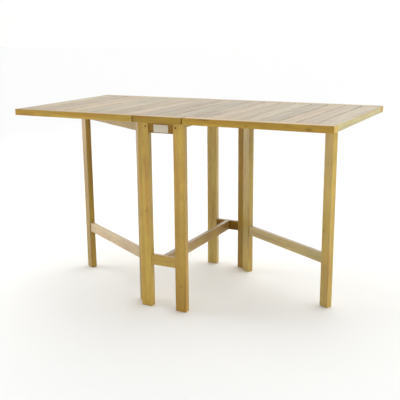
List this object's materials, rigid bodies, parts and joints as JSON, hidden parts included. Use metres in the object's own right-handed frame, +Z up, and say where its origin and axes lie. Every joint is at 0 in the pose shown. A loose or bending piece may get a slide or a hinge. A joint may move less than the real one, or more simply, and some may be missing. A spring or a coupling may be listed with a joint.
{
  "type": "folding garden table",
  "caption": "Slatted teak gate-leg garden table: narrow fixed middle on flat legs, hinged leaves that rest on gates which swing out from it.",
  "frame": {"origin": "on the floor under the middle of the table top", "axes": "+X along the long side of the top, +Y across it from the front edge to the rear edge, +Z up"},
  "size_m": [1.3, 0.65, 0.74],
  "materials": {
    "teak_top": "sanded, lightly weathered",
    "teak_frame": "sanded, oiled",
    "teak_peg": "end grain",
    "brass_hinge": "satin",
    "steel_pin": "drawn",
    "nylon_glide": "moulded"
  },
  "bodies": {
    "centre_frame": {"apron_pegs": "teak_peg", "centre_front_rail": "teak_top", "centre_rear_rail": "teak_top", "centre_slat_1": "teak_top", "centre_slat_2": "teak_top", "centre_slat_3": "teak_top", "front_apron": "teak_frame", "front_foot_rail": "teak_frame", "front_left_leg": "teak_frame", "front_right_leg": "teak_frame", "gate_hinge_fixed_flaps": "brass_hinge", "gate_hinge_pins": "steel_pin", "leaf_hinge_fixed_flaps": "brass_hinge", "leaf_hinge_pins": "steel_pin", "long_stretcher": "teak_frame", "rear_apron": "teak_frame", "rear_foot_rail": "teak_frame", "rear_left_leg": "teak_frame", "rear_right_leg": "teak_frame", "top_fixing_screws": "steel_pin", "top_spine_rail": "teak_frame"},
    "left_leaf": {"left_leaf_end_stile": "teak_top", "left_leaf_front_rail": "teak_top", "left_leaf_hinge_flaps": "brass_hinge", "left_leaf_rear_rail": "teak_top", "left_leaf_slat_1": "teak_top", "left_leaf_slat_2": "teak_top", "left_leaf_slat_3": "teak_top", "left_leaf_slat_4": "teak_top", "left_leaf_slat_5": "teak_top", "left_leaf_slat_6": "teak_top", "left_leaf_slat_7": "teak_top", "left_leaf_stop_block": "teak_frame"},
    "right_leaf": {"right_leaf_end_stile": "teak_top", "right_leaf_front_rail": "teak_top", "right_leaf_hinge_flaps": "brass_hinge", "right_leaf_rear_rail": "teak_top", "right_leaf_slat_1": "teak_top", "right_leaf_slat_2": "teak_top", "right_leaf_slat_3": "teak_top", "right_leaf_slat_4": "teak_top", "right_leaf_slat_5": "teak_top", "right_leaf_slat_6": "teak_top", "right_leaf_slat_7": "teak_top", "right_leaf_stop_block": "teak_frame"},
    "left_gate": {"left_gate_glide": "nylon_glide", "left_gate_hinge_flaps": "brass_hinge", "left_gate_leg": "teak_frame", "left_gate_post": "teak_frame", "left_gate_stretcher": "teak_frame", "left_gate_top_rail": "teak_frame"},
    "right_gate": {"right_gate_glide": "nylon_glide", "right_gate_hinge_flaps": "brass_hinge", "right_gate_leg": "teak_frame", "right_gate_post": "teak_frame", "right_gate_stretcher": "teak_frame", "right_gate_top_rail": "teak_frame"}
  },
  "joints": [
    {"name": "right_leaf_lift", "type": "hinge", "parent": "centre_frame", "child": "right_leaf", "pos_m": [0.1015, 0, 0.716], "axis": [0, -1, 0], "range_deg": [0, 8]},
    {"name": "left_leaf_lift", "type": "hinge", "parent": "centre_frame", "child": "left_leaf", "pos_m": [-0.1015, 0, 0.716], "axis": [0, 1, 0], "range_deg": [0, 8]},
    {"name": "right_gate_swing", "type": "hinge", "parent": "centre_frame", "child": "right_gate", "pos_m": [0.0972, 0.273, 0], "axis": [0, 0, -1], "range_deg": [0, 60]},
    {"name": "left_gate_swing", "type": "hinge", "parent": "centre_frame", "child": "left_gate", "pos_m": [-0.0972, -0.273, 0], "axis": [0, 0, -1], "range_deg": [0, 60]}
  ]
}
